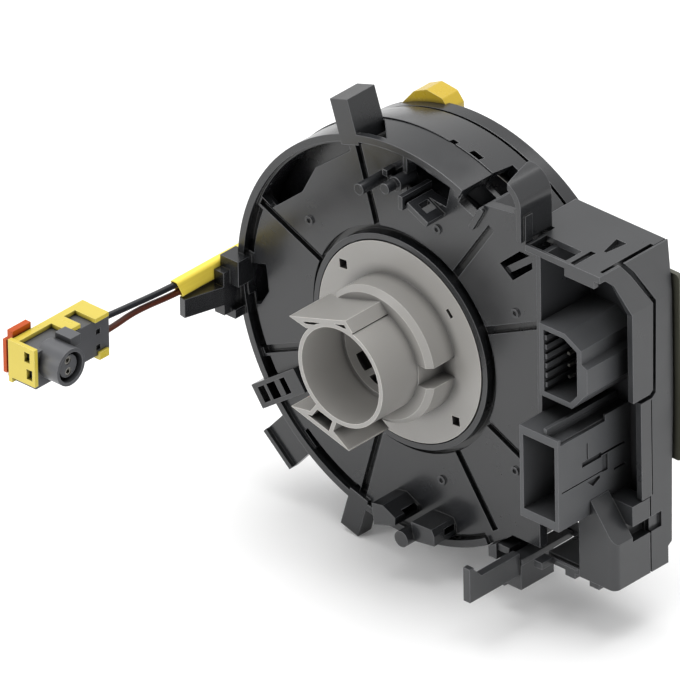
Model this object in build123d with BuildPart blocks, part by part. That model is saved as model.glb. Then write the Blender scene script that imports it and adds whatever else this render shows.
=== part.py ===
from build123d import *
from math import cos, radians, sin, sqrt, tan
import os

os.makedirs("parts", exist_ok=True)

# Steering clock spring. Y is the steering axis: -Y faces the steering column, +Y the steering wheel.
# X points to the electronics module, Z is up, and the origin is the centre of the hub's seat ring.

# Fits between pieces
RUNNING_FIT = 0.08
AXIAL_PLAY = 0.4
BODY_GAP = 0.3
SEAT_GAP = 0.1

# Stator front housing
HOUSING_R = 58.0
HOUSING_WALL = 2.0
FLAT_X = 46.8
FACE_Y = 1.2
FACE_T = 2.8
FRONT_WALL_END = 11.5
GROOVE_DEPTH = 1.6
GROOVE_WIDTH = 2.3
SLOT_DEPTH = 2.2
CHAMBER_R = 44.2
CHAMBER_WALL = 1.5
CHAMBER_END = 24.0
COUNTERBORE_R = 28.9
COLLAR_WALL = 1.6
RING_GROOVE_WIDTH = 1.7

# Stator rear ring
REAR_RING_R = 58.3
REAR_RING_WALL = 2.0
REAR_RING_TAPER = 2.7
REAR_RING_END = 25.0

# Hub
HUB_TUBE_R = 14.8
HUB_BORE_R = 13.6
SHAFT_R = 12.6
HUB_FRONT = -23.4
HUB_STEP = -8.0
HUB_COLLAR_R = 19.5
HUB_FLANGE_R = 28.5
HUB_SLEEVE_R = 24.4
WING_WALL = 1.2

# Rotor plate with its drum
DRUM_R = 31.0
PLATE_R = 55.3
PLATE_Y = 26.2
PLATE_T = 2.9

# Flat cable in the chamber
CABLE_T = 0.4
CABLE_IN = 32.0
CABLE_OUT = 43.4
CABLE_TURNS = 2.5

# Electronics module
MODULE_RIGHT = 70.5
MODULE_TOP = 45.3
MODULE_BOTTOM = -50.0
MODULE_WALL = 1.8

# Airbag lead
LEAD_X = -62.0
WIRE_D = 1.75
PLUG_FACE = -48.4
BARREL_R = 5.3


def face_at(y):
    """Plane square to the steering axis at y, facing the column: its sketch reads X across and Z up."""
    return Plane.XZ.offset(-y)


def flatted_circle(radius, flat_x):
    """Circle about the steering axis, cut straight at flat_x."""
    with BuildSketch(Plane.XY) as outline:
        Circle(radius)
        with Locations((flat_x + radius, 0)):
            Rectangle(2 * radius, 2 * radius, mode=Mode.SUBTRACT)
    return outline.sketch


def ring_sector(r_in, r_out, start, end):
    """Part of a flat ring between two angles, in degrees from +X toward +Z."""
    with BuildSketch(Plane.XY) as sector:
        with BuildLine():
            inner = CenterArc((0, 0), r_in, start, end - start)
            outer = CenterArc((0, 0), r_out, start, end - start)
            Line(inner @ 0, outer @ 0)
            Line(inner @ 1, outer @ 1)
        make_face()
    return sector.sketch


def polygon(points):
    with BuildSketch(Plane.XY) as shape:
        with BuildLine():
            Polyline(*points, close=True)
        make_face()
    return shape.sketch


def along_y(profile, y_front, y_back, mode=Mode.ADD):
    """Profile drawn as X across and Z up, run between two places on the steering axis."""
    with BuildSketch(face_at(y_back)) as placed:
        add(profile)
    extrude(to_extrude=placed.sketch, amount=y_back - y_front, mode=mode)


def along_x(profile, x_low, x_high, mode=Mode.ADD):
    """Profile drawn as Y across and Z up, run along X."""
    with BuildSketch(Plane.YZ.offset(x_low)) as placed:
        add(profile)
    extrude(to_extrude=placed.sketch, amount=x_high - x_low, mode=mode)


def along_z(profile, z_low, z_high, mode=Mode.ADD):
    """Profile drawn as X across and Y deep, run along Z."""
    with BuildSketch(Plane.XY.offset(z_low)) as placed:
        add(profile)
    extrude(to_extrude=placed.sketch, amount=z_high - z_low, mode=mode)


def block(x_span, y_span, z_span, mode=Mode.ADD):
    middle = [(low + high) / 2 for low, high in (x_span, y_span, z_span)]
    size = [high - low for low, high in (x_span, y_span, z_span)]
    with Locations(tuple(middle)):
        Box(*size, mode=mode)


def radial_block(angle, r_in, r_out, width, y_front, y_back, mode=Mode.ADD, shift=0):
    """Block that stands out along a radius at the given angle."""
    with BuildSketch(Plane.XY) as bar:
        with Locations(Rotation(0, 0, angle) * Location(((r_in + r_out) / 2, shift, 0))):
            Rectangle(r_out - r_in, width)
    along_y(bar.sketch, y_front, y_back, mode)


def disc(radius, x=0, z=0):
    with BuildSketch(Plane.XY) as round_shape:
        with Locations((x, z)):
            Circle(radius)
    return round_shape.sketch


def ring(r_in, r_out, x=0, z=0):
    with BuildSketch(Plane.XY) as annulus:
        with Locations((x, z)):
            Circle(r_out)
            Circle(r_in, mode=Mode.SUBTRACT)
    return annulus.sketch


# Stator front housing
# The black moulded disc on the column side: it carries the hub's bearing, the ribbon chamber,
# the mounting tabs and the guide where the airbag lead leaves.
GROOVE_ANGLES = (25.5, -25.5, 55.5, -55.5, 106.3, -106.6, 156, -156)
UPPER_CORNER = [(20, 20), (27, 51.2), (43.2, 53.3), (43.2, 43.2), (FLAT_X, 43.2), (FLAT_X, 0), (20, 0)]
LOWER_CORNER = [(20, 0), (20, -40), (33.4, -44.5), (FLAT_X, -44.5), (FLAT_X, 0)]
COLLAR_R = COUNTERBORE_R + COLLAR_WALL
RING_GROOVE_R = COLLAR_R + RING_GROOVE_WIDTH
with BuildPart() as stator_front_housing:
    # Face plate, squared off toward the module
    face_back = FACE_Y + FACE_T
    along_y(flatted_circle(HOUSING_R, FLAT_X), FACE_Y, face_back)
    along_y(polygon(UPPER_CORNER), FACE_Y, face_back)
    along_y(polygon(LOWER_CORNER), FACE_Y, face_back)
    # Outer wall and raised rim
    along_y(flatted_circle(HOUSING_R, FLAT_X), FACE_Y, FRONT_WALL_END)
    inner_outline = flatted_circle(HOUSING_R - HOUSING_WALL, FLAT_X - HOUSING_WALL)
    along_y(inner_outline, face_back, FRONT_WALL_END + 1, Mode.SUBTRACT)
    along_y(ring_sector(56, HOUSING_R, 59.5, 300.5), 0, FACE_Y)
    # Ribbon chamber wall
    along_y(ring(CHAMBER_R, CHAMBER_R + CHAMBER_WALL), face_back, CHAMBER_END)
    # Collar round the hub flange, with the bearing bore and its counterbore
    along_y(ring(COUNTERBORE_R, COLLAR_R), -0.4, FACE_Y)
    along_y(disc(HUB_SLEEVE_R + RUNNING_FIT), -1, 6, Mode.SUBTRACT)
    along_y(disc(COUNTERBORE_R), -1, FACE_Y + 0.8, Mode.SUBTRACT)
    along_y(ring(COLLAR_R, RING_GROOVE_R), 0, FACE_Y + GROOVE_DEPTH, Mode.SUBTRACT)
    for angle in GROOVE_ANGLES:
        radial_block(angle, COLLAR_R + 0.9, 55, GROOVE_WIDTH, 0.4, FACE_Y + GROOVE_DEPTH, Mode.SUBTRACT)
    # Curved slots beside the rim
    for start, end in ((158, 174), (188, 203.5), (206, 212), (229, 252)):
        along_y(ring_sector(53.4, 55.99, start, end), 0.5, FACE_Y + SLOT_DEPTH, Mode.SUBTRACT)
    along_y(ring_sector(54.8, 55.99, 282, 300), 0.5, FACE_Y + GROOVE_DEPTH, Mode.SUBTRACT)
    # Deep pocket, upper left
    with BuildSketch(face_at(6)) as left_pocket:
        with BuildLine():
            rim_arc = CenterArc((0, 0), 55.4, 110, 44.5)
            Polyline(rim_arc @ 1, (-46.2, 21.8), (-35.4, 30.8), (-30.6, 39.8), (-18.1, 49.7), rim_arc @ 0)
        make_face()
    extrude(to_extrude=left_pocket.sketch, amount=7, mode=Mode.SUBTRACT)
    # Deep pocket, upper right, with the narrow rib that carries the second post
    along_y(polygon([(-5, 47.6), (3.8, 54.8), (17, 52), (15.5, 45.6)]), -1, 6, Mode.SUBTRACT)
    radial_block(88, 44, 56.5, 1.4, 0.4, face_back)
    # Slotted tongue and rib at that pocket's lower edge
    along_y(polygon([(7.2, 45.4), (7.9, 46.9), (15.0, 43.5), (14.3, 42.0)]), -5.4, face_back)
    block((9.6, 12.6), (-3.2, 0.4), (42, 48), Mode.SUBTRACT)
    block((5.6, 7.0), (-6.4, 5), (44.6, 48.6))
    # Posts and pegs on the face
    along_y(disc(1.6, -6.6, 46.5), -8.2, FACE_Y)
    along_y(disc(1.5, 0.8, 48.7), -6.4, 3)
    along_y(disc(2.1, 1.6, 49.0), -3.2, 3.5)
    block((-3.7, -2.1), (-2.2, FACE_Y), (49.4, 51.2))
    for x, z in ((-32.9, 23.2), (12.3, 37.8), (39.4, 23.2), (38.6, -24.5), (12.6, -37.4)):
        along_y(ring(0.7, 1.3, x, z), 0.7, FACE_Y)
    # Notch through the outer wall on the upper right, with a rib wall beside it
    radial_block(64, 52.5, 60, 7, -1, FRONT_WALL_END + 1, Mode.SUBTRACT)
    radial_block(60.2, 50, 57.9, 1.5, 0, FRONT_WALL_END)
    radial_block(68.6, 54.5, 57.9, 1.4, 0, FRONT_WALL_END)
    # Curved ear on the upper corner plate
    with BuildSketch(face_at(12)) as ear:
        with BuildLine():
            bend = ThreePointArc((35.0, 62.2), (40.6, 60.2), (42.6, 54.0))
            Line((42.6, 54.0), (42.6, MODULE_TOP + 0.3))
            Line((42.6, MODULE_TOP + 0.3), (41.0, MODULE_TOP + 0.3))
            Line((41.0, MODULE_TOP + 0.3), (41.0, 53.6))
            inside = ThreePointArc((41.0, 53.6), (39.3, 58.9), (34.8, 60.6))
            Line((34.8, 60.6), (35.0, 62.2))
        make_face()
    extrude(to_extrude=ear.sketch, amount=12)
    block((39.4, 42.6), (FACE_Y, face_back), (42, 54))
    along_z(polygon([(30, -1), (38.4, -1), (34.6, 12.5), (30, 12.5)]), 54, 66, Mode.SUBTRACT)
    # Window in the corner plate under the ear, with its bar
    along_y(polygon([(34, 36), (38.5, 32.5), (45.4, 38.5), (45.4, 42.2), (41, 42.2)]), -1, 6, Mode.SUBTRACT)
    along_y(polygon([(34.7, 34.5), (35.9, 33.1), (46.5, 41.3), (45.5, 42.9)]), 2.0, face_back)
    # Triangular window in the outer wall beside the top tab
    WINDOW_ANGLE = 101
    wall_plane = Plane(
        origin=(HOUSING_R * cos(radians(WINDOW_ANGLE)), 0, HOUSING_R * sin(radians(WINDOW_ANGLE))),
        x_dir=(0, 1, 0),
        z_dir=(cos(radians(WINDOW_ANGLE)), 0, sin(radians(WINDOW_ANGLE))),
    )
    with BuildSketch(wall_plane) as wall_window:
        with BuildLine():
            Polyline((1.8, 3.9), (10.9, 3.9), (1.8, -5.4), close=True)
        make_face()
    extrude(to_extrude=wall_window.sketch, amount=4, both=True, mode=Mode.SUBTRACT)
    # Mounting tabs
    radial_block(108, 55, 67.8, 6.4, 0, 10.5)
    radial_block(-107, 55, 67.5, 6.4, 0, 5)
    # Slotted bracket at the left
    BRACKET_ANGLE = -144.7
    radial_block(BRACKET_ANGLE, 44, 62.6, 7, -0.9, face_back)
    radial_block(BRACKET_ANGLE, 58.0, 60.7, 4.5, -3, 12, Mode.SUBTRACT)
    radial_block(BRACKET_ANGLE, 49.0, 56.9, 4.6, -3, 2.8, Mode.SUBTRACT)
    radial_block(BRACKET_ANGLE, 51.6, 53.8, 4.7, -0.6, 2.9)
    # Hooked tab at the lower left
    radial_block(-131.9, 55, 67.9, 12.2, FACE_Y, 3.4)
    radial_block(-131.9, 66.6, 67.9, 12.2, 0, FACE_Y)
    # Snap fingers and pin at the bottom
    for finger, tip in (
        ([(-3.9, -46.6), (-0.1, -45.9), (4.3, -48.1), (4.3, -50.3), (-3.2, -52.9)], -8.2),
        ([(9.2, -47.6), (16.3, -47.3), (17.3, -49.0), (17.3, -51.9), (10.1, -52.9)], -7.4),
    ):
        along_y(polygon(finger), tip, FACE_Y)
    block((-1.4, 6), (-4.6, 0.6), (-49.6, -47.6), Mode.SUBTRACT)
    block((12.4, 18), (-3.4, 0.6), (-50.4, -48.6), Mode.SUBTRACT)
    along_y(disc(2.3, 7.9, -52.2), -9.9, FACE_Y)
    # Cable hood and the horn that carries the lead out
    along_y(polygon([(-54, 2.3), (-48.8, 3.8), (-48.0, -4.2), (-51, -9), (-54.6, -10.5), (-55.6, -5)]), -1, 6,
            Mode.SUBTRACT)
    with BuildSketch(Plane.XY.offset(-8.4)) as horn:
        with BuildLine():
            Polyline((-62.3, -17.6), (-60.2, -18), (-57, -6.4), (-57, 4), (-64, 4), close=True)
        make_face()
    extrude(to_extrude=horn.sketch, amount=5.5)
    block((-60.4, -57.0), (-6.4, 4), (-11.5, 1.2))
    block((-59.6, -55.5), (-3.8, 3), (-13.1, -10.4))
    block((-60.4, -54), (-4, 2), (-2.9, 4.6))
    block((-57.1, -54.8), (-4, 0), (1.2, 4.6))
stator_front_housing.part.label = "stator_front_housing"
export_step(stator_front_housing.part, "parts/stator_front_housing.step")

# Stator rear ring
# Second half of the stator's outer wall, stepped out from the front housing, with the spout that
# the airbag lead leaves by.
with BuildPart() as stator_rear_ring:
    rear_front = FRONT_WALL_END + SEAT_GAP
    back_r = REAR_RING_R - REAR_RING_TAPER
    with BuildSketch(Plane.XY) as wall_profile:
        with BuildLine():
            Polyline((REAR_RING_R - REAR_RING_WALL, rear_front), (REAR_RING_R, rear_front),
                     (back_r, REAR_RING_END), (back_r - REAR_RING_WALL, REAR_RING_END), close=True)
        make_face()
    revolve(profiles=wall_profile.sketch, axis=Axis.Y, revolution_arc=360)
    # The module takes the place of the wall on its side
    module_side = 100 * tan(radians(37))
    along_y(polygon([(0, 0), (100, module_side), (100, -module_side)]), 5, 30, Mode.SUBTRACT)
    chamber_clear = CHAMBER_R + CHAMBER_WALL + BODY_GAP
    along_y(ring_sector(chamber_clear, REAR_RING_R - 1, 37, 323), rear_front, rear_front + 1.6)
    # Notch that carries on from the front housing
    radial_block(64, 52.5, 60, 7, 5, 20, Mode.SUBTRACT)
    radial_block(60.2, 50, back_r + 0.9, 1.5, rear_front, 20)
    radial_block(64, 52.5, back_r + 0.5, 7.4, 20, 21.4)
    # Spout
    block((LEAD_X - 3, 0.1 - back_r), (13, 20), (-5, 5.5))
    block((LEAD_X - 1.6, LEAD_X + 1.6), (11, 19), (-2.85, 3.35), Mode.SUBTRACT)
    # Small square holes in the wall, upper right
    radial_block(81.7, 55, 60, 2.0, 11.2, 13.2, Mode.SUBTRACT)
    radial_block(74.6, 55, 60, 3.6, 12.0, 14.2, Mode.SUBTRACT)
stator_rear_ring.part.label = "stator_rear_ring"
export_step(stator_rear_ring.part, "parts/stator_rear_ring.step")

# Slide sheet, front
# Thin low-friction ring on the chamber floor, that the wound cable runs on.
with BuildPart() as slide_sheet_front:
    along_y(ring(31.5, CHAMBER_R - 0.2), 4.05, 4.45)
slide_sheet_front.part.label = "slide_sheet_front"
export_step(slide_sheet_front.part, "parts/slide_sheet_front.step")

# Slide sheet, rear
# The same ring on the rotor plate, turning with it.
with BuildPart() as slide_sheet_rear:
    along_y(ring(DRUM_R + 0.2, CHAMBER_R - 0.4), PLATE_Y - 0.5, PLATE_Y - 0.05)
slide_sheet_rear.part.label = "slide_sheet_rear"
export_step(slide_sheet_rear.part, "parts/slide_sheet_rear.step")

# Flat cable
# Ribbon of flat copper conductors, wound in an open spiral between drum and chamber wall.
CABLE_STEPS = int(CABLE_TURNS * 12)
inner_points = []
outer_points = []
for step in range(CABLE_STEPS + 1):
    turn = radians(30 * step)
    radius = CABLE_IN + (CABLE_OUT - CABLE_IN) * step / CABLE_STEPS
    inner_points.append((radius * cos(turn), radius * sin(turn)))
    outer_points.append(((radius + CABLE_T) * cos(turn), (radius + CABLE_T) * sin(turn)))
with BuildPart() as flat_cable:
    with BuildSketch(face_at(22.8)):
        with BuildLine():
            inside_edge = Spline(*inner_points)
            outside_edge = Spline(*outer_points)
            Line(inside_edge @ 0, outside_edge @ 0)
            Line(inside_edge @ 1, outside_edge @ 1)
        make_face()
    extrude(amount=16.8)
flat_cable.part.label = "flat_cable"
export_step(flat_cable.part, "parts/flat_cable.step")

# Hub
# Warm-grey rotor hub: bearing sleeve, flange, collar, the thin tube round the steering shaft and the
# two hollow wedge wings that push the indicator stalk back.
UPPER_WING = [(-11.9, 9.7), (-17.8, 11.0), (2.0, 17.2), (4.6, 14.4)]
LOWER_WING = [(-11, -14.9), (-17.7, -16.0), (2.6, -21.65), (-2.9, -17.8), (-1.5, -14.0), (-8.8, -12.0)]
with BuildPart() as hub:
    along_y(ring(HUB_BORE_R, HUB_TUBE_R), HUB_FRONT, HUB_STEP)
    along_y(ring(SHAFT_R, HUB_TUBE_R), HUB_STEP, 2.0)
    # Collar behind the wings, its front edge bevelled
    with BuildSketch(Plane.XY) as collar_profile:
        with BuildLine():
            Polyline((HUB_BORE_R + 0.6, -10), (18.0, -10), (HUB_COLLAR_R, -8.5), (HUB_COLLAR_R, -0.5),
                     (HUB_BORE_R + 0.6, -0.5), close=True)
        make_face()
    revolve(profiles=collar_profile.sketch, axis=Axis.Y, revolution_arc=360)
    # Flange and bearing sleeve
    along_y(ring(SHAFT_R, HUB_FLANGE_R), -0.6, 1.6)
    along_y(ring(22.4, HUB_SLEEVE_R), 1.6, PLATE_Y + PLATE_T + SEAT_GAP)
    for angle in (0, 90, 180, 270):
        with BuildSketch(Plane.XY) as hook:
            add(ring_sector(22.4, 25.7, angle - 9, angle + 9))
        along_y(hook.sketch, PLATE_Y + PLATE_T + SEAT_GAP, PLATE_Y + PLATE_T + 1.6)
    for angle in (45, 135, 225, 315):
        radial_block(angle, 21.5, 25.5, 14, 24, 31, Mode.SUBTRACT)
    # Keyway in the collar and windows in the flange
    radial_block(0, 15.0, 20.5, 6, -11, -0.62, Mode.SUBTRACT)
    for angle in (141, -40):
        with BuildSketch(Plane.XY) as square_window:
            with Locations(Rotation(0, 0, angle) * Location((25.3, 0, 0))):
                Rectangle(2.6, 2.6, rotation=45)
        along_y(square_window.sketch, -2, 1.7, Mode.SUBTRACT)
    radial_block(41, 22.8, 24.0, 2.6, -2, 0.6, Mode.SUBTRACT)
    # Windows through the bore wall
    for angle in (39, 70, 219, 250):
        radial_block(angle, 11, 16, 5, -5.5, -2.0, Mode.SUBTRACT)
    # Hollow wedge wings
    for outline in (UPPER_WING, LOWER_WING):
        with BuildSketch(face_at(HUB_STEP)) as wing:
            add(polygon(outline))
            Circle(HUB_TUBE_R - 0.6, mode=Mode.SUBTRACT)
        extrude(to_extrude=wing.sketch, amount=HUB_STEP - HUB_FRONT)
        with BuildSketch(face_at(HUB_STEP - 1.5)) as wing_hollow:
            with BuildSketch(Plane.XY, mode=Mode.PRIVATE) as core:
                add(polygon(outline))
                offset(amount=-WING_WALL, kind=Kind.INTERSECTION)
            add(core.sketch)
            Circle(HUB_TUBE_R, mode=Mode.SUBTRACT)
        extrude(to_extrude=wing_hollow.sketch, amount=HUB_STEP - HUB_FRONT, mode=Mode.SUBTRACT)
hub.part.label = "hub"
export_step(hub.part, "parts/hub.step")

# Rotor plate
# Black disc on the steering wheel side, with the drum that the cable winds on.
CONNECTOR = [(-28.6, 45.5), (-21.5, 54), (-17, 56.2), (-11.5, 55.6), (-9.3, 53), (-9.3, 42), (-26, 40)]
with BuildPart() as rotor_plate:
    plate_back = PLATE_Y + PLATE_T
    along_y(ring(HUB_SLEEVE_R + 0.05, DRUM_R), 2 * AXIAL_PLAY + 3.6, PLATE_Y)
    along_y(ring(HUB_SLEEVE_R + 0.05, PLATE_R), PLATE_Y, plate_back)
    # Raised ring and ribs on the wheel side
    along_y(ring(27.5, 29.5), plate_back, plate_back + 4.2)
    along_y(ring(PLATE_R - 2.0, PLATE_R), plate_back, plate_back + 1.2)
    for angle in range(0, 360, 30):
        if angle not in (90, 120):
            radial_block(angle + 3, 29.0, PLATE_R - 1.5, 1.4, plate_back, plate_back + 1.2)
    # Seat of the yellow socket
    with BuildSketch(Plane.XY) as socket_seat:
        add(polygon(CONNECTOR))
        offset(amount=0.3)
    along_y(socket_seat.sketch, plate_back, plate_back + 6, Mode.SUBTRACT)
    # Blind screw bosses
    for angle in (35, 145, 215, 325):
        x, z = 40 * cos(radians(angle)), 40 * sin(radians(angle))
        along_y(disc(3.6, x, z), plate_back, plate_back + 4)
        along_y(disc(1.5, x, z), plate_back + 0.5, plate_back + 5, Mode.SUBTRACT)
rotor_plate.part.label = "rotor_plate"
export_step(rotor_plate.part, "parts/rotor_plate.step")

# Rotor connector
# Yellow socket on the wheel side for the airbag's own plug.
with BuildPart() as rotor_connector:
    along_y(polygon(CONNECTOR), PLATE_Y + PLATE_T + 0.05, 35.2)
    fillet(rotor_connector.edges().filter_by(Axis.Y), 1.2)
    with BuildSketch(face_at(36)) as connector_hollow:
        with BuildSketch(Plane.XY, mode=Mode.PRIVATE) as core:
            add(polygon(CONNECTOR))
            offset(amount=-1.5, kind=Kind.INTERSECTION)
        add(core.sketch)
    extrude(to_extrude=connector_hollow.sketch, amount=6, mode=Mode.SUBTRACT)
    for x, z in ((-21, 47), (-16, 49.5)):
        block((x - 0.55, x + 0.55), (28, 31), (z - 0.55, z + 0.55), Mode.SUBTRACT)
rotor_connector.part.label = "rotor_connector"
export_step(rotor_connector.part, "parts/rotor_connector.step")

with BuildPart() as rotor_connector_pins:
    for x, z in ((-21, 47), (-16, 49.5)):
        block((x - 0.5, x + 0.5), (PLATE_Y + PLATE_T + 0.1, 34), (z - 0.5, z + 0.5))
rotor_connector_pins.part.label = "rotor_connector_pins"
export_step(rotor_connector_pins.part, "parts/rotor_connector_pins.step")

# Module frame
# Black frame at the right of the stator: the bay for the two plug sockets, the top plate and the
# lower block with the shelf that the column latch is cut from.
SIDE_FRONT = [(0.8, MODULE_TOP), (5.9, 40.7), (11.8, 29.3), (11.8, 3.3)]
SIDE_SEAM = [(11.8, 3.3), (18.1, 3.3), (19.3, 4.2), (19.7, 30), (12.3, 41.0), (8.8, MODULE_TOP)]
SIDE_FACET = [(MODULE_RIGHT, 30), (69.6, 41), (69.2, 45.4), (72, 46), (72, 30)]
UPPER_PINS = [(x, z) for x in (52.4, 56.6) for z in (6.5, 10.0, 13.5, 17.0, 20.5)]
LOWER_PINS = [(x, z) for x in (52.4, 57.8) for z in (-24.0, -18.5, -13.0, -7.5)]
with BuildPart() as module_frame:
    # Top plate, reaching over the stator's rear ring
    block((43.4, MODULE_RIGHT), (0.8, 8.8), (43.5, MODULE_TOP))
    block((43.4, MODULE_RIGHT - MODULE_WALL - BODY_GAP), (8, 26.9), (43.5, MODULE_TOP))
    block((36, 44), (12.3, 26.9), (43.5, MODULE_TOP))
    along_y(disc(REAR_RING_R + 0.4), 10, 30, Mode.SUBTRACT)
    # Shelf with the cross of slots that frees the latch
    shelf_left = sqrt(HOUSING_R**2 - MODULE_BOTTOM**2) + 0.8
    block((shelf_left - 0.2, 58.5), (4.25, 11.3), (MODULE_BOTTOM, -48))
    block((shelf_left - 0.2, 48.5), (0, 5), (MODULE_BOTTOM, -48))
    block((shelf_left, shelf_left + 2.8), (-0.6, 4.2), (-52.6, -47))
    with BuildSketch(face_at(21.6)) as shelf_back:
        with Locations((44.25, -49)):
            Rectangle(28.5, 2)
        Circle(REAR_RING_R + 0.4, mode=Mode.SUBTRACT)
    extrude(to_extrude=shelf_back.sketch, amount=10.3)
    along_y(disc(HOUSING_R + SEAT_GAP), -1, 11.6, Mode.SUBTRACT)
    block((29, 57), (4.3, 5.8), (-52, -47), Mode.SUBTRACT)
    block((37.0, 45.6), (-1, 18.0), (-52, -47), Mode.SUBTRACT)
    block((shelf_left + 1.8, 37.0), (4.2, 5.9), (MODULE_BOTTOM, -48.9))
    block((45.6, 57.5), (4.2, 5.9), (MODULE_BOTTOM, -48.9))
    # Openings of the top plate
    block((44.2, 56.8), (1.6, 7.9), (40, 50), Mode.SUBTRACT)
    block((58.4, 60.1), (1.4, 9.6), (44.4, 50), Mode.SUBTRACT)
    block((57, 67.3), (0.8, 2.4), (41.2, 43.6))
    block((67.3, 68.4), (3.0, 22.5), (42, 50), Mode.SUBTRACT)
    along_z(polygon([(61.0, 11.5), (61.8, 11.5), (62.8, 18.4), (59.2, 18.4)]), 40, 50, Mode.SUBTRACT)
    # Left wall, bay floor and side flange
    block((46.9, 48.4), (1.0, 21.6), (-29.8, 43.6))
    block((46.9, MODULE_RIGHT - MODULE_WALL), (20, 21.6), (-48, 43.6))
    along_x(polygon(SIDE_FRONT + SIDE_SEAM[1:]), MODULE_RIGHT - MODULE_WALL, MODULE_RIGHT)
    # Lower block, its top ramping up to the lower socket, rounded between front and side
    ramp = [(58, MODULE_BOTTOM), (MODULE_RIGHT, MODULE_BOTTOM), (MODULE_RIGHT, -36.5), (62.1, -25.5), (62.1, -29.9),
            (58, -29.9)]
    along_y(polygon(ramp), 4, 11)
    right_corner = module_frame.edges().filter_by(Axis.Z).filter_by_position(Axis.Y, 3.95, 4.05)
    fillet(right_corner.sort_by(Axis.X)[-1], 2)
    block((58, MODULE_RIGHT), (11, 17.6), (MODULE_BOTTOM, -29.9))
    block((62.1, MODULE_RIGHT), (11, 17.6), (-29.9, -27.4))
    block((58, 68.4), (17.6, 20.2), (MODULE_BOTTOM, -29.9))
    # Feet under the shelf
    block((52.8, 56.2), (4.2, 6.6), (-51.6, -49.9))
    block((61.3, 64.6), (4.2, 6.9), (-51.6, -49.9))
    # Facet where the side meets the top
    along_y(polygon(SIDE_FACET), -1, 30, Mode.SUBTRACT)
    # Passages for the terminals
    for x, z in UPPER_PINS + LOWER_PINS:
        block((x - 0.55, x + 0.55), (19, 23), (z - 0.55, z + 0.55), Mode.SUBTRACT)
    # Snap window in the lower block
    block((67.5, 72), (10.9, 17.7), (-37.8, -33.3), Mode.SUBTRACT)
module_frame.part.label = "module_frame"
export_step(module_frame.part, "parts/module_frame.step")

# Module rear shell
# Black cover behind the frame, closing the electronics in.
SHELL_FRONT = [(10.4, MODULE_TOP), (13.5, 41.8), (20.9, 30.4), (20.4, 3.0), (19.0, 1.9), (14.7, 1.9), (14.7, -27.1),
               (18.1, -27.1), (18.1, MODULE_BOTTOM)]
SHELL_REAR = [(24.5, MODULE_BOTTOM), (24.5, -45), (25.9, -44), (26.3, -20), (27, 0), (27, MODULE_TOP)]
with BuildPart() as module_rear_shell:
    along_x(polygon(SHELL_FRONT + SHELL_REAR), MODULE_RIGHT - MODULE_WALL, MODULE_RIGHT)
    # Rear wall, following the rear edge of the side
    rear_wall = SHELL_REAR + [(y - MODULE_WALL, z) for y, z in reversed(SHELL_REAR)]
    along_x(polygon(rear_wall), 46.9, MODULE_RIGHT)
    # Left, top and bottom walls
    left_wall = [(21.8, MODULE_BOTTOM), (21.8, 43.3), (27, 43.3)] + SHELL_REAR[4::-1]
    along_x(polygon(left_wall), 46.9, 46.9 + MODULE_WALL)
    block((46, MODULE_RIGHT - MODULE_WALL), (20, 28), (43.3, 46), Mode.SUBTRACT)
    block((47, MODULE_RIGHT), (21.8, 24), (MODULE_BOTTOM, -48.2))
    along_y(disc(REAR_RING_R + 0.4), 10, 30, Mode.SUBTRACT)
    # Facet, thin groove and snap recess of the side
    along_y(polygon(SIDE_FACET), -1, 30, Mode.SUBTRACT)
    block((70.1, 71), (18.5, 18.9), (-27, 1.5), Mode.SUBTRACT)
    block((69.6, 72), (18, 22), (-37.8, -33.3), Mode.SUBTRACT)
    # Step that clears the rotor plate
    step_r = max(REAR_RING_R, PLATE_R) + 0.4
    with BuildSketch(Plane.XY) as step_floor:
        Circle(step_r + 1.3)
        with Locations((57.8, -2)):
            Rectangle(21.8, 90, mode=Mode.INTERSECT)
    along_y(step_floor.sketch, 23.95, 24.85)
    with BuildSketch(Plane.XY) as step_wall:
        Circle(step_r + 1.3)
        Circle(step_r, mode=Mode.SUBTRACT)
        with Locations((57.8, -2)):
            Rectangle(21.8, 90, mode=Mode.INTERSECT)
    along_y(step_wall.sketch, 23.95, 26.5)
    # Feet that carry the back plate
    for z in (-16, 8, 30):
        along_y(disc(2.4, 63, z), 25.5, 27.95)
module_rear_shell.part.label = "module_rear_shell"
export_step(module_rear_shell.part, "parts/module_rear_shell.step")

# Module back plate
# Thin olive-grey plate behind the shell.
with BuildPart() as module_back_plate:
    block((59.5, 72.2), (28.0, 29.4), (-20.7, 35))
    fillet(module_back_plate.edges().filter_by(Axis.Y), 1.5)
module_back_plate.part.label = "module_back_plate"
export_step(module_back_plate.part, "parts/module_back_plate.step")

# Circuit board
# Board in the module, holed for the terminals of both sockets.
with BuildPart() as circuit_board:
    block((49, 68), (21.9, 23.5), (-30, 42))
    for x, z in UPPER_PINS + LOWER_PINS:
        block((x - 0.55, x + 0.55), (21, 24), (z - 0.55, z + 0.55), Mode.SUBTRACT)
circuit_board.part.label = "circuit_board"
export_step(circuit_board.part, "parts/circuit_board.step")

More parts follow.
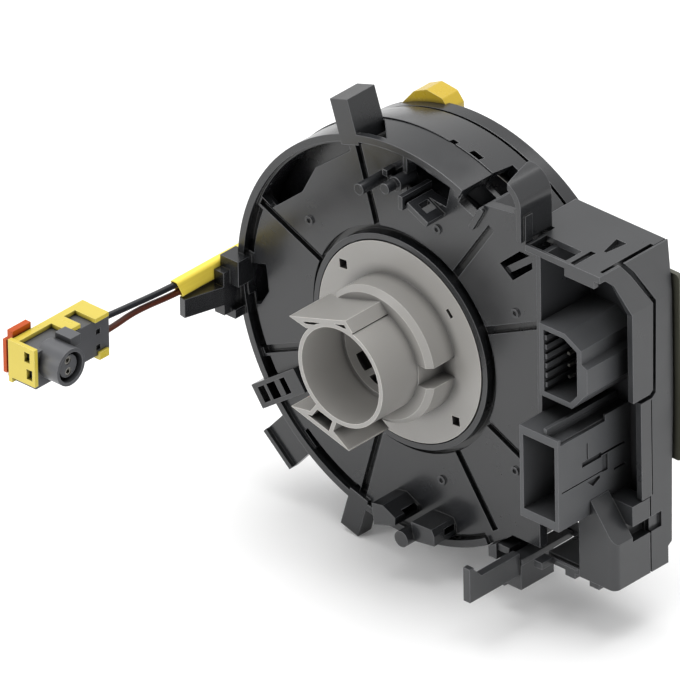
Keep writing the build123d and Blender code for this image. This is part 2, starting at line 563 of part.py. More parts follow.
# Upper socket
# Header housing in the bay, chamfered at its right corners, with a toothed inner wall.
UPPER_SOCKET = [(48.6, 2.9), (48.6, 24.4), (57.6, 24.4), (63.2, 21.3), (63.2, 6.9), (59.8, 2.9)]
with BuildPart() as upper_socket:
    along_y(polygon(UPPER_SOCKET), 0, 19.9)
    with BuildSketch(face_at(17)) as upper_cavity:
        with BuildSketch(Plane.XY, mode=Mode.PRIVATE) as core:
            add(polygon(UPPER_SOCKET))
            offset(amount=-1.5, kind=Kind.INTERSECTION)
        add(core.sketch)
    extrude(to_extrude=upper_cavity.sketch, amount=18, mode=Mode.SUBTRACT)
    # Teeth on the left inner wall
    for z in (6.4, 9.2, 12.0, 14.8, 17.6, 20.4):
        block((50.0, 50.8), (0.4, 17), (z - 0.7, z + 0.7))
    # Rib along the right side
    along_y(polygon([(63.1, 17.4), (65.2, 16.4), (65.2, 9.0), (63.1, 7.0)]), 0, 19.9)
    for x, z in UPPER_PINS:
        block((x - 0.5, x + 0.5), (16, 21), (z - 0.5, z + 0.5), Mode.SUBTRACT)
upper_socket.part.label = "upper_socket"
export_step(upper_socket.part, "parts/upper_socket.step")

with BuildPart() as upper_socket_pins:
    for x, z in UPPER_PINS:
        block((x - 0.4, x + 0.4), (7, 23.8), (z - 0.4, z + 0.4))
upper_socket_pins.part.label = "upper_socket_pins"
export_step(upper_socket_pins.part, "parts/upper_socket_pins.step")

# Lower socket
# Longer header housing under it, standing further out of the bay.
with BuildPart() as lower_socket:
    block((48.6, 62), (-8, 19.9), (-29.8, -2.6))
    block((49.8, 60.8), (-9, 14), (-27.2, -5.0), Mode.SUBTRACT)
    # Trough and rail along the top
    block((57.6, 61.2), (-7.2, 20), (-3.9, -2.5), Mode.SUBTRACT)
    block((61.1, 62.1), (-7, 10.2), (-4.4, -2.5), Mode.SUBTRACT)
    block((56.5, 57.5), (-7.3, 19.9), (-2.7, -1.0))
    # Slots, recesses and ramped notch of the right side
    block((61.2, 63), (1.2, 8.6), (-14.5, -12.9), Mode.SUBTRACT)
    block((61.2, 63), (8.6, 17.6), (-14.1, -13.4), Mode.SUBTRACT)
    block((61.6, 63), (3.0, 3.4), (-12.9, -8), Mode.SUBTRACT)
    block((61.4, 63), (8.8, 11.0), (-19.2, -14.3), Mode.SUBTRACT)
    block((61.2, 63), (13.3, 17.6), (-20.5, -19.9), Mode.SUBTRACT)
    block((61.6, 63), (-6.6, 8.8), (-18.9, -18.5), Mode.SUBTRACT)
    along_x(polygon([(3, -19.6), (8, -19.6), (8, -20.4), (5.4, -21.8), (4.6, -21.2)]), 61.2, 63, Mode.SUBTRACT)
    for x, z in LOWER_PINS:
        block((x - 0.5, x + 0.5), (13, 21), (z - 0.5, z + 0.5), Mode.SUBTRACT)
lower_socket.part.label = "lower_socket"
export_step(lower_socket.part, "parts/lower_socket.step")

with BuildPart() as lower_socket_pins:
    for x, z in LOWER_PINS:
        block((x - 0.4, x + 0.4), (3, 23.8), (z - 0.4, z + 0.4))
lower_socket_pins.part.label = "lower_socket_pins"
export_step(lower_socket_pins.part, "parts/lower_socket_pins.step")

# Column latch
# Spring tongue of the shelf with its snap block and the long lever that a thumb presses.
with BuildPart() as column_latch:
    block((39.2, 43.2), (-2, 17.6), (-50, -48.2))
    block((39.2, 42.9), (-2, 10.6), (-57.4, -49))
    block((35.5, 42.9), (-2, 10.6), (-57.4, -50.4))
    block((36.7, 41.7), (-0.6, 9.4), (-58, -51.6), Mode.SUBTRACT)
    block((34.6, 37), (-2, -0.6), (-58.4, -57))
    block((40.1, 42.4), (-21, -1.9), (-53, -46.6))
    block((39, 43), (-19.2, -2), (-46.0, -43), Mode.SUBTRACT)
    block((40.1, 42.4), (-21, -19.4), (-47, -43))
    along_x(polygon([(-19.5, -46.6), (-19.5, -43.4), (-16.5, -46.6)]), 40.1, 42.4)
column_latch.part.label = "column_latch"
export_step(column_latch.part, "parts/column_latch.step")

# Airbag lead sleeve
# Flat yellow sleeving over the two wires, from the spout along the horn, its free end cut slanted.
with BuildPart() as lead_sleeve:
    with BuildSketch(Plane.YZ.offset(LEAD_X - 1.3)):
        with BuildLine():
            Polyline((-20.2, 3.0), (14, 3.0), (14, -2.5), (-17.5, -2.5), close=True)
        make_face()
    extrude(amount=2.6)
    fillet(lead_sleeve.edges().filter_by(Axis.Y), 0.9)
    block((LEAD_X - 0.95, LEAD_X + 0.95), (-22, 13.4), (-2.15, 2.65), Mode.SUBTRACT)
lead_sleeve.part.label = "lead_sleeve"
export_step(lead_sleeve.part, "parts/lead_sleeve.step")


def wire(points, radii):
    """Round wire along a filleted route; each route lies in the plane of the lead."""
    with BuildPart() as tube:
        with BuildLine() as route:
            FilletPolyline(*points, radius=radii)
        path = route.wires()[0]
        with BuildSketch(Plane(origin=path @ 0, z_dir=path % 0)):
            Circle(WIRE_D / 2)
        sweep(path=path)
    length = path.length
    print("wire length", round(length, 2), "radii", [round(r, 1) for r in radii],
          "volume over section x length", round(tube.part.volume / (length * 3.14159265 * (WIRE_D / 2) ** 2), 4))
    return tube.part


def route_radii(points):
    """Bend radius at each inner point: as large as nine tenths of the shorter run's half allows."""
    radii = []
    for before, here, after in zip(points, points[1:], points[2:]):
        first = Vector(*here) - Vector(*before)
        second = Vector(*after) - Vector(*here)
        half_turn = radians(first.get_angle(second)) / 2
        radii.append(0.45 * min(first.length, second.length) / tan(half_turn))
    return radii


BLACK_ROUTE = [(LEAD_X, -12.0, 1.55), (LEAD_X, -20.5, 1.5), (LEAD_X, -42.0, 3.3), (LEAD_X, -51.0, 4.1)]
BROWN_ROUTE = [(LEAD_X, -12.0, -1.05), (LEAD_X, -19.0, -1.2), (LEAD_X, -34.5, 0.5), (LEAD_X, -43.5, -0.6),
               (LEAD_X, -51.0, -0.7)]
with BuildPart() as black_wire:
    add(wire(BLACK_ROUTE, route_radii(BLACK_ROUTE)))
black_wire.part.label = "black_wire"
export_step(black_wire.part, "parts/black_wire.step")

with BuildPart() as brown_wire:
    add(wire(BROWN_ROUTE, route_radii(BROWN_ROUTE)))
brown_wire.part.label = "brown_wire"
export_step(brown_wire.part, "parts/brown_wire.step")

# Plug body
# Dark-grey airbag plug: square body with the round barrel that enters the airbag's igniter socket.
BARREL_Y = -70.0
BARREL_Z = 3.1
with BuildPart() as plug_body:
    block((-65.5, -58.5), (-76.2, PLUG_FACE), (-3.5, 7.2))
    with BuildSketch(Plane.YZ.offset(-60)) as barrel:
        with Locations((BARREL_Y, BARREL_Z)):
            Circle(BARREL_R)
    extrude(to_extrude=barrel.sketch, amount=60 - 51.7)
    with BuildSketch(Plane.YZ.offset(-51)) as barrel_mouth:
        with Locations((BARREL_Y, BARREL_Z)):
            Circle(BARREL_R - 1.0)
    extrude(to_extrude=barrel_mouth.sketch, amount=-8, mode=Mode.SUBTRACT)
    # Contact tower inside the barrel
    with BuildSketch(Plane.YZ.offset(-59.5)) as tower:
        with Locations((BARREL_Y, BARREL_Z)):
            Circle(3.2)
    extrude(to_extrude=tower.sketch, amount=6.8)
    for z in (BARREL_Z + 1.65, BARREL_Z - 1.65):
        with BuildSketch(Plane.YZ.offset(-52)) as contact_hole:
            with Locations((BARREL_Y, z)):
                Circle(1.2)
        extrude(to_extrude=contact_hole.sketch, amount=-6, mode=Mode.SUBTRACT)
    # Hood above the barrel
    block((-60, -54.5), (-67, -63.2), (6.2, 9.2))
    # Wire seats in the rear face
    for z in (4.0, -0.7):
        with BuildSketch(Plane.XZ.offset(-PLUG_FACE - 1)) as seat:
            with Locations((LEAD_X, z)):
                Circle(1.3)
        extrude(to_extrude=seat.sketch, amount=4.2, mode=Mode.SUBTRACT)
    # Two small square holes in the near face
    for y, z in ((-52.5, 3.5), (-52.5, -1.2)):
        block((-59.5, -58), (y - 0.8, y + 0.8), (z - 0.8, z + 0.8), Mode.SUBTRACT)
plug_body.part.label = "plug_body"
export_step(plug_body.part, "parts/plug_body.step")

# Plug contacts
# The two round contacts at the mouth of the barrel.
with BuildPart() as plug_contacts:
    for z in (BARREL_Z + 1.65, BARREL_Z - 1.65):
        with BuildSketch(Plane.YZ.offset(-57.9)) as sleeve_contact:
            with Locations((BARREL_Y, z)):
                Circle(1.15)
                Circle(0.6, mode=Mode.SUBTRACT)
        extrude(to_extrude=sleeve_contact.sketch, amount=5.0)
plug_contacts.part.label = "plug_contacts"
export_step(plug_contacts.part, "parts/plug_contacts.step")

# Plug shell
# Yellow clip over the plug, with two fingers down its near face.
with BuildPart() as plug_shell:
    # Far wall and the strip along the top
    block((-66.8, -65.6), (-77.6, -49.4), (-3.5, 8.5))
    block((-66.8, -64.6), (-77.6, -49.4), (7.3, 8.5))
    # Two fingers across the top
    block((-64.7, -58.7), (-63.6, -58.8), (7.3, 8.5))
    block((-64.7, -57.4), (-54.6, -49.5), (7.3, 8.5))
    block((-60.2, -54), (-75.6, -63.0), (3, 10), Mode.SUBTRACT)
    # End plate with its two windows
    block((-66.8, -57.5), (-77.6, -76.3), (-2, 9))
    block((-61.1, -59.2), (-78, -76), (4.6, 7.5), Mode.SUBTRACT)
    block((-60.4, -58.4), (-78, -76), (-0.4, 2.6), Mode.SUBTRACT)
    # Strap under the body, turned up at its near edge
    block((-66.8, -65.6), (-53, -49.4), (-4.6, -3.4))
    block((-66.8, -57.6), (-53, -49.4), (-4.6, -3.6))
    block((-58.4, -57.6), (-53, -49.4), (-4.6, -2.4))
plug_shell.part.label = "plug_shell"
export_step(plug_shell.part, "parts/plug_shell.step")

# Plug lock
# Orange secondary lock that slides in when the plug is seated.
with BuildPart() as plug_lock:
    block((-70.2, -69.0), (-76, -70.5), (-2.6, 7.2))
    block((-69.0, -67.1), (-75.5, -68.6), (-3.6, 10.2))
plug_lock.part.label = "plug_lock"
export_step(plug_lock.part, "parts/plug_lock.step")
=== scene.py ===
from math import cos, radians, sin

import bpy
from mathutils import Matrix, Vector


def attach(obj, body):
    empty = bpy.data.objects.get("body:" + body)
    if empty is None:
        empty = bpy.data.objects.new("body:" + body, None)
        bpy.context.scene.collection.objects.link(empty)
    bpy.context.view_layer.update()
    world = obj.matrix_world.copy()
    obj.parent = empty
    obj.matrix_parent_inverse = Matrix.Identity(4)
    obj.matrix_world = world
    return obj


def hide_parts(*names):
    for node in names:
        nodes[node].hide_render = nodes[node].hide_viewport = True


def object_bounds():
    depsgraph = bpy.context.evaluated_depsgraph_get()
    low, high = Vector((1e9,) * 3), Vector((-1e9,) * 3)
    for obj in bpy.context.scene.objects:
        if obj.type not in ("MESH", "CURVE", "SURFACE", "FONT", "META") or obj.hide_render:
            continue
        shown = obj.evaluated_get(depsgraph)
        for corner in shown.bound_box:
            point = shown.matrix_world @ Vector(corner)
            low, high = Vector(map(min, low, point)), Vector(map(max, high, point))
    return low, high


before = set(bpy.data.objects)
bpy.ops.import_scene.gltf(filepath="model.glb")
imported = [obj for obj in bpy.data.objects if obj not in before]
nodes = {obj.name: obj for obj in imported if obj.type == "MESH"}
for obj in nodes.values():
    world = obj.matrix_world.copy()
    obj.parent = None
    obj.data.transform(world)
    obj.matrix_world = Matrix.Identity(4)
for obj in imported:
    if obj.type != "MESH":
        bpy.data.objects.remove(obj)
solids_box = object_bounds()

# Stator and rotor plate: the black round mouldings.
# They are glass-filled PBT, injection moulded against a polished tool, so the ribbon inside has
# smooth walls to slide on and the face mirrors what stands on it.
FLOW_MARK_MM = 14
FINGER_MARK_MM = 9
# PBT, acetal and polyamide all lie close to this
MOULDING_IOR = 1.55


def linear(hex_colour):
    """sRGB hex, such as "1b1b1d", as linear red, green, blue and alpha."""
    colour = []
    for start in (0, 2, 4):
        part = int(hex_colour[start:start + 2], 16) / 255
        colour.append(part / 12.92 if part <= 0.04045 else ((part + 0.055) / 1.055) ** 2.4)
    return colour + [1.0]


def per_metre(size_mm):
    """Scale of a pattern that repeats every size_mm, since the scene is in metres."""
    return 1000 / size_mm


def add_node(tree, kind, inputs=None, **settings):
    """Adds one node. inputs gives each socket a value, or the output that feeds it."""
    node = tree.nodes.new(kind)
    for name, value in settings.items():
        setattr(node, name, value)
    for name, value in (inputs or {}).items():
        if isinstance(value, bpy.types.NodeSocket):
            tree.links.new(value, node.inputs[name])
        else:
            node.inputs[name].default_value = value
    return node


def start_material(name):
    """A new material, with its node tree and its shader."""
    material = bpy.data.materials.new(name)
    material.use_nodes = True
    return material, material.node_tree, material.node_tree.nodes["Principled BSDF"]


def moulded_plastic(name, colour, tint, edge_highlight, roughness, handled, grain_mm, grain_depth_mm, edge_mm,
                    hollow_mm):
    """Injection-moulded plastic: flow marks in the colour, a tool's grain in the surface, broken edges.

    handled is how far finger marks and tool wear move the roughness each way, tint is the second
    colour that the melt drifts to, and edge_highlight is the paler colour of a painted highlight on
    outer edges. Painted shade darkens what lies within hollow_mm of an inner corner.
    """
    plastic, tree, shader = start_material(name)
    place = add_node(tree, "ShaderNodeTexCoord").outputs["Object"]
    # Flow marks
    flow = add_node(tree, "ShaderNodeTexNoise", {"Vector": place, "Scale": per_metre(FLOW_MARK_MM),
                                                 "Detail": 4.0, "Distortion": 0.6})
    drift = add_node(tree, "ShaderNodeMix", {0: flow.outputs["Fac"], 6: linear(colour), 7: linear(tint)},
                     data_type="RGBA")
    # Painted highlight on outer edges, where the surface turns within edge_mm, and painted shade in inner
    # corners
    edge = add_node(tree, "ShaderNodeBevel", {"Radius": edge_mm / 1000}, samples=6)
    flat = add_node(tree, "ShaderNodeNewGeometry").outputs["Normal"]
    turned = add_node(tree, "ShaderNodeVectorMath", {0: edge.outputs["Normal"], 1: flat},
                      operation="DOT_PRODUCT")
    # Painted highlight: outer edges are painted in a paler colour, except in inner corners
    edge_highlight_turn = add_node(tree, "ShaderNodeMapRange", {"Value": turned.outputs["Value"], "From Min": 0.985,
                                                   "From Max": 0.80})
    nearby = add_node(tree, "ShaderNodeAmbientOcclusion", {"Distance": hollow_mm / 1000}, samples=8)
    outside = add_node(tree, "ShaderNodeMapRange", {"Value": nearby.outputs["AO"], "From Min": 0.6,
                                                    "From Max": 0.9})
    edge_highlight_mask = add_node(tree, "ShaderNodeMath", {0: edge_highlight_turn.outputs["Result"], 1: outside.outputs["Result"]},
                          operation="MULTIPLY")
    highlighted = add_node(tree, "ShaderNodeMix", {0: edge_highlight_mask.outputs["Value"], 6: drift.outputs[2],
                                             7: linear(edge_highlight)}, data_type="RGBA")
    # Painted shade: the colour is darkened within hollow_mm of an inner corner
    corner = add_node(tree, "ShaderNodeMapRange", {"Value": nearby.outputs["AO"], "From Min": 0.35,
                                                   "From Max": 0.85, "To Min": 0.1, "To Max": 1.0})
    shaded = add_node(tree, "ShaderNodeVectorMath", {0: highlighted.outputs[2], "Scale": corner.outputs["Result"]},
                      operation="SCALE")
    tree.links.new(shaded.outputs["Vector"], shader.inputs["Base Color"])
    # Finger marks, with finer specks of handling in them
    marks = add_node(tree, "ShaderNodeTexNoise", {"Vector": place, "Scale": per_metre(FINGER_MARK_MM),
                                                  "Detail": 8.0, "Roughness": 0.62})
    dull = add_node(tree, "ShaderNodeMapRange", {"Value": marks.outputs["Fac"], "From Min": 0.3,
                                                 "From Max": 0.7, "To Min": roughness - handled,
                                                 "To Max": roughness + handled})
    tree.links.new(dull.outputs["Result"], shader.inputs["Roughness"])
    # Grain of the tool
    grain = add_node(tree, "ShaderNodeTexNoise", {"Vector": place, "Scale": per_metre(grain_mm),
                                                  "Detail": 2.0})
    relief = add_node(tree, "ShaderNodeBump", {"Height": grain.outputs["Fac"],
                                               "Normal": edge.outputs["Normal"],
                                               "Distance": grain_depth_mm / 1000, "Strength": 1.0})
    tree.links.new(relief.outputs["Normal"], shader.inputs["Normal"])
    shader.inputs["IOR"].default_value = MOULDING_IOR
    return plastic


def dress(material, *names):
    """Gives the named pieces this one material."""
    for name in names:
        mesh = nodes[name].data
        mesh.materials.clear()
        mesh.materials.append(material)


# Polished PBT: black, and glossy enough to mirror softly what touches it or stands on it.
# A real polish is finer than 0.01 mm, so only a faint 0.8 mm ripple is drawn.
polished_black_pbt = moulded_plastic("polished_black_pbt", "252628", "1d1e20", "6c6d70", roughness=0.24,
                                     handled=0.05, grain_mm=0.8, grain_depth_mm=0.0015, edge_mm=0.35,
                                     hollow_mm=6)
dress(polished_black_pbt, "stator_front_housing", "stator_rear_ring", "rotor_plate")

# Module: frame, rear shell and column latch.
# The same PBT against a spark-eroded tool, which leaves it satin, so it reads as mid grey where
# the light falls on it. The latch is cut free from the frame's shelf by a cross of slots.

# Spark-eroded PBT: the tool's pits are about 0.1 mm across, drawn here at 0.25 mm to show.
satin_black_pbt = moulded_plastic("spark_eroded_black_pbt", "303133", "292a2c", "76777a", roughness=0.33,
                                  handled=0.06, grain_mm=0.25, grain_depth_mm=0.006, edge_mm=0.3, hollow_mm=6)
dress(satin_black_pbt, "module_frame", "module_rear_shell", "column_latch")

# Sockets: the two header housings that the column's plugs go into.
# Moulded in the same grade, a little duller, and welded to the frame's rear wall. Their base colour is
# paler than the frame's as painted light on their lit sides. Their insides are deep and narrow, and
# painted shade within 11 mm of inner corners makes them the darkest places on the module.
header_black_pbt = moulded_plastic("header_black_pbt", "4e4f51", "444547", "808184", roughness=0.4,
                                   handled=0.05, grain_mm=0.3, grain_depth_mm=0.005, edge_mm=0.25,
                                   hollow_mm=11)
header_shader = header_black_pbt.node_tree.nodes["Principled BSDF"]
header_shader.inputs["Specular IOR Level"].default_value = 0.25
dress(header_black_pbt, "upper_socket", "lower_socket")

# Terminals: square pins in the sockets, and the ring contacts of the airbag plug.
# Stamped from brass strip and tin plated, so they are a soft white metal with draw lines along them.
tin_plated_brass, tree, shader = start_material("tin_plated_brass")
shader.inputs["Metallic"].default_value = 1.0
place = add_node(tree, "ShaderNodeTexCoord").outputs["Object"]
# Draw lines along the pin, 0.08 mm apart on the strip and drawn at 0.2 mm to show
DRAW_LINE_MM = 0.2
DRAW_LINE_LENGTH_MM = 6
along = add_node(tree, "ShaderNodeMapping", {
    "Vector": place,
    "Scale": (per_metre(DRAW_LINE_MM), per_metre(DRAW_LINE_LENGTH_MM), per_metre(DRAW_LINE_MM)),
})
lines = add_node(tree, "ShaderNodeTexNoise", {"Vector": along.outputs["Vector"], "Scale": 1.0, "Detail": 3.0})
tin = add_node(tree, "ShaderNodeMix", {0: lines.outputs["Fac"], 6: linear("cfcdc6"), 7: linear("aeaba3")},
               data_type="RGBA")
tree.links.new(tin.outputs[2], shader.inputs["Base Color"])
worn = add_node(tree, "ShaderNodeMapRange", {"Value": lines.outputs["Fac"], "To Min": 0.22, "To Max": 0.42})
tree.links.new(worn.outputs["Result"], shader.inputs["Roughness"])
dress(tin_plated_brass, "upper_socket_pins", "lower_socket_pins", "rotor_connector_pins", "plug_contacts")

# Circuit board: sits behind the sockets, holed for their pins.
# Glass-epoxy laminate under a green solder mask; the glass weave shows faintly through the mask.
THREAD_MM = 0.45
# A wave texture runs one turn, 2 pi, for each band
BAND_TURN = 6.2832
thread_scale = per_metre(THREAD_MM) / BAND_TURN
solder_mask_board, tree, shader = start_material("solder_mask_on_glass_epoxy")
place = add_node(tree, "ShaderNodeTexCoord").outputs["Object"]
warp = add_node(tree, "ShaderNodeTexWave", {"Vector": place, "Scale": thread_scale, "Distortion": 0.3},
                bands_direction="X")
weft = add_node(tree, "ShaderNodeTexWave", {"Vector": place, "Scale": thread_scale, "Distortion": 0.3},
                bands_direction="Z")
cloth = add_node(tree, "ShaderNodeMath", {0: warp.outputs["Fac"], 1: weft.outputs["Fac"]},
                 operation="MULTIPLY")
mask = add_node(tree, "ShaderNodeMix", {0: cloth.outputs["Value"], 6: linear("0f5a2c"), 7: linear("1a6f3a")},
                data_type="RGBA")
tree.links.new(mask.outputs[2], shader.inputs["Base Color"])
shader.inputs["Roughness"].default_value = 0.3
dress(solder_mask_board, "circuit_board")

# Back plate: the thin cover behind the shell.
# Olive-grey PBT, as moulded, the least black of the dark pieces.
olive_pbt = moulded_plastic("spark_eroded_olive_pbt", "4b4b3e", "414136", "6c6c5c", roughness=0.5,
                            handled=0.05, grain_mm=0.3, grain_depth_mm=0.006, edge_mm=0.2, hollow_mm=3)
dress(olive_pbt, "module_back_plate")

# Slide sheets: one on the chamber floor, one on the rotor plate.
# Punched from low-friction PTFE film, milky and waxy, with the marks of the knife that peeled it.
SKIVE_MARK_MM = 2
ptfe_film, tree, shader = start_material("punched_ptfe_film")
place = add_node(tree, "ShaderNodeTexCoord").outputs["Object"]
skive = add_node(tree, "ShaderNodeTexNoise", {"Vector": place, "Scale": per_metre(SKIVE_MARK_MM),
                                              "Detail": 3.0})
milky = add_node(tree, "ShaderNodeMix", {0: skive.outputs["Fac"], 6: linear("dddcd6"), 7: linear("cfcec8")},
                 data_type="RGBA")
tree.links.new(milky.outputs[2], shader.inputs["Base Color"])
shader.inputs["Roughness"].default_value = 0.55
dress(ptfe_film, "slide_sheet_front", "slide_sheet_rear")

# Flat cable: the ribbon wound between drum and chamber wall.
# Flat copper conductors laminated between polyester films, so it shows copper bands in a clear edge.
CONDUCTOR_PITCH_MM = 2.5
laminated_ribbon, tree, shader = start_material("polyester_laminated_copper")
place = add_node(tree, "ShaderNodeTexCoord").outputs["Object"]
# The conductors lie side by side across the ribbon, which is its width along Y
bands = add_node(tree, "ShaderNodeTexWave", {"Vector": place,
                                             "Scale": per_metre(CONDUCTOR_PITCH_MM) / BAND_TURN},
                 bands_direction="Y", wave_profile="TRI")
strip = add_node(tree, "ShaderNodeMapRange", {"Value": bands.outputs["Fac"], "From Min": 0.3,
                                              "From Max": 0.36})
film = add_node(tree, "ShaderNodeMix", {0: strip.outputs["Result"], 6: linear("c9c2b4"),
                                        7: linear("b06a3c")}, data_type="RGBA")
tree.links.new(film.outputs[2], shader.inputs["Base Color"])
shader.inputs["Roughness"].default_value = 0.25
dress(laminated_ribbon, "flat_cable")

# Hub: flange, bearing sleeve, tube and the two hollow wings, in one moulding.
# Warm light-grey acetal, which bears on the black PBT without squeaking; waxy, with soft highlights.
# Its tool is finely blasted, about 0.15 mm, drawn at 0.3 mm.
grey_acetal = moulded_plastic("blasted_grey_acetal", "959390", "908e8a", "e4e1db", roughness=0.3,
                              handled=0.02, grain_mm=0.3, grain_depth_mm=0.003, edge_mm=0.35, hollow_mm=5)
acetal_shader = grey_acetal.node_tree.nodes["Principled BSDF"]
acetal_shader.inputs["Subsurface Weight"].default_value = 0.08
# Red light goes about 1.2 mm into the acetal, and blue less far
acetal_shader.inputs["Subsurface Radius"].default_value = (0.0012, 0.001, 0.0008)
dress(grey_acetal, "hub")

# Rotor connector and plug shell: the yellow pieces that mark an airbag circuit.
# Both are pigmented PBT, as moulded and satin; the thin shell is the paler one.
yellow_pbt = moulded_plastic("moulded_yellow_pbt", "c4a826", "ba9d1e", "dcc868", roughness=0.3,
                             handled=0.05, grain_mm=0.3, grain_depth_mm=0.003, edge_mm=0.3, hollow_mm=2)
dress(yellow_pbt, "rotor_connector")
pale_yellow_pbt = moulded_plastic("moulded_pale_yellow_pbt", "d2bf4a", "c8b440", "ece088", roughness=0.3,
                                  handled=0.05, grain_mm=0.3, grain_depth_mm=0.003, edge_mm=0.25,
                                  hollow_mm=2)
dress(pale_yellow_pbt, "plug_shell")

# Airbag lead: flat sleeving over two wires, from the spout along the horn to the plug.
# The sleeving is extruded PVC pressed flat over the wires, matte, with faint lines along it.
SLEEVE_LINE_MM = 0.5
SLEEVE_LINE_LENGTH_MM = 30
SLEEVE_RIDGE = 0.00002
SLEEVE_EDGE = 0.0004
yellow_pvc, tree, shader = start_material("extruded_yellow_pvc")
place = add_node(tree, "ShaderNodeTexCoord").outputs["Object"]
# Extrusion lines run along Y
drawn = add_node(tree, "ShaderNodeMapping", {
    "Vector": place,
    "Scale": (per_metre(SLEEVE_LINE_MM), per_metre(SLEEVE_LINE_LENGTH_MM), per_metre(SLEEVE_LINE_MM)),
})
streak = add_node(tree, "ShaderNodeTexNoise", {"Vector": drawn.outputs["Vector"], "Scale": 1.0,
                                               "Detail": 3.0})
pvc = add_node(tree, "ShaderNodeMix", {0: streak.outputs["Fac"], 6: linear("fbe35a"), 7: linear("efd448")},
               data_type="RGBA")
tree.links.new(pvc.outputs[2], shader.inputs["Base Color"])
soft_edge = add_node(tree, "ShaderNodeBevel", {"Radius": SLEEVE_EDGE}, samples=6)
ridge = add_node(tree, "ShaderNodeBump", {"Height": streak.outputs["Fac"],
                                          "Normal": soft_edge.outputs["Normal"],
                                          "Distance": SLEEVE_RIDGE, "Strength": 1.0})
tree.links.new(ridge.outputs["Normal"], shader.inputs["Normal"])
shader.inputs["Roughness"].default_value = 0.42
dress(yellow_pvc, "lead_sleeve")

# The two wires: stranded copper in extruded cross-linked polyethylene, one black and one brown.
# They run straight from the sleeve to the back of the plug, which hangs on them.
LEAD_X = -0.062
WIRE_DIAMETER = 0.00175
# Y and Z of each wire's guide points, from the sleeve to the plug
WIRE_ROUTES = {
    "black_wire": [(-0.0120, 0.00155), (-0.0205, 0.0015), (-0.0420, 0.0033), (-0.0510, 0.0041)],
    "brown_wire": [(-0.0120, -0.00105), (-0.0190, -0.0012), (-0.0345, 0.0005), (-0.0435, -0.0006),
                   (-0.0510, -0.0007)],
}
WIRE_COLOURS = {"black_wire": ("1e2024", "16181c"), "brown_wire": ("5a2a1a", "482014")}
DIE_LINE_MM = 0.3
DIE_LINE_LENGTH_MM = 20
for name, route in WIRE_ROUTES.items():
    hue = name.split("_")[0]
    # Insulation: a slight gloss, and die lines that run along the wire
    insulation, tree, shader = start_material("extruded_" + hue + "_polyethylene")
    place = add_node(tree, "ShaderNodeTexCoord").outputs["Object"]
    drawn = add_node(tree, "ShaderNodeMapping", {
        "Vector": place,
        "Scale": (per_metre(DIE_LINE_MM), per_metre(DIE_LINE_LENGTH_MM), per_metre(DIE_LINE_MM)),
    })
    die = add_node(tree, "ShaderNodeTexNoise", {"Vector": drawn.outputs["Vector"], "Scale": 1.0,
                                                "Detail": 2.0})
    dark, darker = WIRE_COLOURS[name]
    skin = add_node(tree, "ShaderNodeMix", {0: die.outputs["Fac"], 6: linear(dark), 7: linear(darker)},
                    data_type="RGBA")
    tree.links.new(skin.outputs[2], shader.inputs["Base Color"])
    sheen = add_node(tree, "ShaderNodeMapRange", {"Value": die.outputs["Fac"], "To Min": 0.28,
                                                  "To Max": 0.4})
    tree.links.new(sheen.outputs["Result"], shader.inputs["Roughness"])

    line = bpy.data.curves.new(name + "_line", "CURVE")
    line.dimensions = "3D"
    line.bevel_depth = WIRE_DIAMETER / 2
    line.bevel_resolution = 6
    line.resolution_u = 24
    line.use_fill_caps = True
    spline = line.splines.new("NURBS")
    spline.points.add(len(route) - 1)
    for point, (y, z) in zip(spline.points, route):
        point.co = (LEAD_X, y, z, 1.0)
    spline.order_u = 3
    spline.use_endpoint_u = True
    wire = bpy.data.objects.new(hue + "_lead_wire", line)
    bpy.context.scene.collection.objects.link(wire)
    line.materials.append(insulation)
    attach(wire, "stator")
    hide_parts(name)

# Plug body: the airbag plug, with the round barrel that goes into the igniter's socket.
# Dark grey polyamide, moulded satin.
grey_polyamide = moulded_plastic("moulded_grey_polyamide", "505154", "46474a", "727376", roughness=0.38,
                                 handled=0.05, grain_mm=0.3, grain_depth_mm=0.004, edge_mm=0.3, hollow_mm=3)
dress(grey_polyamide, "plug_body")

# Plug lock: the orange slider that is pushed home when the plug is seated.
# Pigmented polyamide, moulded, as satin as the shell and deep in colour.
orange_polyamide = moulded_plastic("moulded_orange_polyamide", "bc4c08", "ae4406", "cc6830", roughness=0.4,
                                   handled=0.05, grain_mm=0.3, grain_depth_mm=0.003, edge_mm=0.3,
                                   hollow_mm=2)
orange_shader = orange_polyamide.node_tree.nodes["Principled BSDF"]
orange_shader.inputs["Specular IOR Level"].default_value = 0.25
dress(orange_polyamide, "plug_lock")

# Floor: a plain pale sheet of paper, 0.3 mm under the lowest tab.
# It reaches so far that its edge lies outside every view.
FLOOR_GAP = 0.0003
REACH = 12
lowest = solids_box[0][2] - FLOOR_GAP
floor_mesh = bpy.data.meshes.new("floor")
floor_mesh.from_pydata([(-REACH, -REACH, lowest), (REACH, -REACH, lowest), (REACH, REACH, lowest),
                        (-REACH, REACH, lowest)], [], [(0, 1, 2, 3)])
floor = bpy.data.objects.new("floor", floor_mesh)
bpy.context.scene.collection.objects.link(floor)
paper, tree, shader = start_material("matte_white_paper")
shader.inputs["Base Color"].default_value = linear("fcfcfc")
shader.inputs["Roughness"].default_value = 0.9
shader.inputs["Specular IOR Level"].default_value = 0.1
floor_mesh.materials.append(paper)

# Light: a large soft box overhead, one each from the left and the right, and an even pale room.
# The one on the right is weak, so the hub's tube and the sides of the pieces stay darker.


def soft_box(name, place, size, watts):
    """A rectangular area light at place, aimed at the origin."""
    light = bpy.data.lights.new(name, "AREA")
    light.shape = "RECTANGLE"
    light.size, light.size_y = size
    light.energy = watts
    lamp = bpy.data.objects.new(name, light)
    bpy.context.scene.collection.objects.link(lamp)
    lamp.location = place
    lamp.rotation_euler = (-Vector(place)).to_track_quat("-Z", "Y").to_euler()


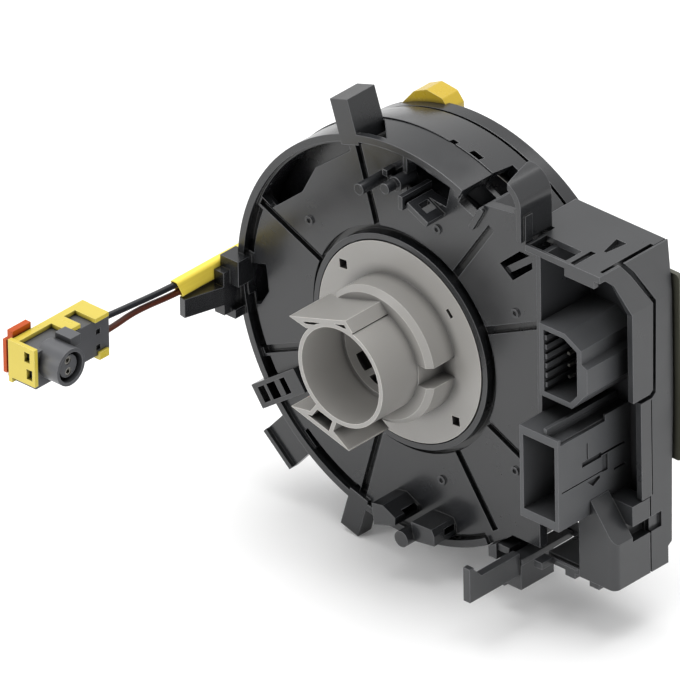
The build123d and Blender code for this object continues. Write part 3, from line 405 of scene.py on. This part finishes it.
soft_box("overhead_box", place=(-0.1, 0.15, 1.3), size=(1.2, 1.2), watts=16)
soft_box("left_box", place=(-0.6, -1.4, 0.8), size=(0.7, 0.9), watts=9)
soft_box("right_box", place=(1.3, -0.4, 0.4), size=(0.9, 0.9), watts=2.5)

# Room: lights the part at 0.6, and is plain white where the camera sees it, also in a reflection.
# That keeps the background white without more light on the part.
ROOM_LIGHT = 0.6
room = bpy.data.worlds.new("room")
bpy.context.scene.world = room
room.use_nodes = True
tree = room.node_tree
backdrop = tree.nodes["Background"]
backdrop.inputs["Color"].default_value = linear("ffffff")
ray = add_node(tree, "ShaderNodeLightPath").outputs
mirrored = add_node(tree, "ShaderNodeMath", {0: ray["Is Camera Ray"], 1: ray["Is Glossy Ray"]},
                    operation="MAXIMUM")
seen = add_node(tree, "ShaderNodeMath", {0: mirrored.outputs["Value"], 1: ray["Is Transmission Ray"]},
                operation="MAXIMUM")
level = add_node(tree, "ShaderNodeMapRange", {"Value": seen.outputs["Value"], "To Min": ROOM_LIGHT,
                                              "To Max": 1.0})
tree.links.new(level.outputs["Result"], backdrop.inputs["Strength"])

# Camera: far off with a long lens, from the column side, to the right and above.
# Its angles, distance, lens and aim were fitted to points of the part in the photograph.
AZIMUTH = radians(43.23)
ELEVATION = radians(30.42)
ROLL = radians(-1.03)
DISTANCE = 7.2363
AIM_LEFT = 0.01594
AIM_UP = 0.00032
PICTURE_WIDTH = 680
FOCAL_LENGTH_PIXELS = 27921
SENSOR_WIDTH = 36
back = Vector((sin(AZIMUTH) * cos(ELEVATION), -cos(AZIMUTH) * cos(ELEVATION), sin(ELEVATION)))
sideways = Vector((cos(AZIMUTH), sin(AZIMUTH), 0))
upright = back.cross(sideways)
across = sideways * cos(ROLL) + upright * sin(ROLL)
up = upright * cos(ROLL) - sideways * sin(ROLL)
lens = bpy.data.cameras.new("camera")
lens.sensor_width = SENSOR_WIDTH
lens.lens = FOCAL_LENGTH_PIXELS / PICTURE_WIDTH * SENSOR_WIDTH
lens.clip_end = 30
camera = bpy.data.objects.new("camera", lens)
bpy.context.scene.collection.objects.link(camera)
turn = Matrix((across, up, back)).transposed().to_4x4()
camera.matrix_world = Matrix.Translation(back * DISTANCE - across * AIM_LEFT + up * AIM_UP) @ turn
bpy.context.scene.camera = camera

bpy.context.scene.view_settings.view_transform = "Standard"
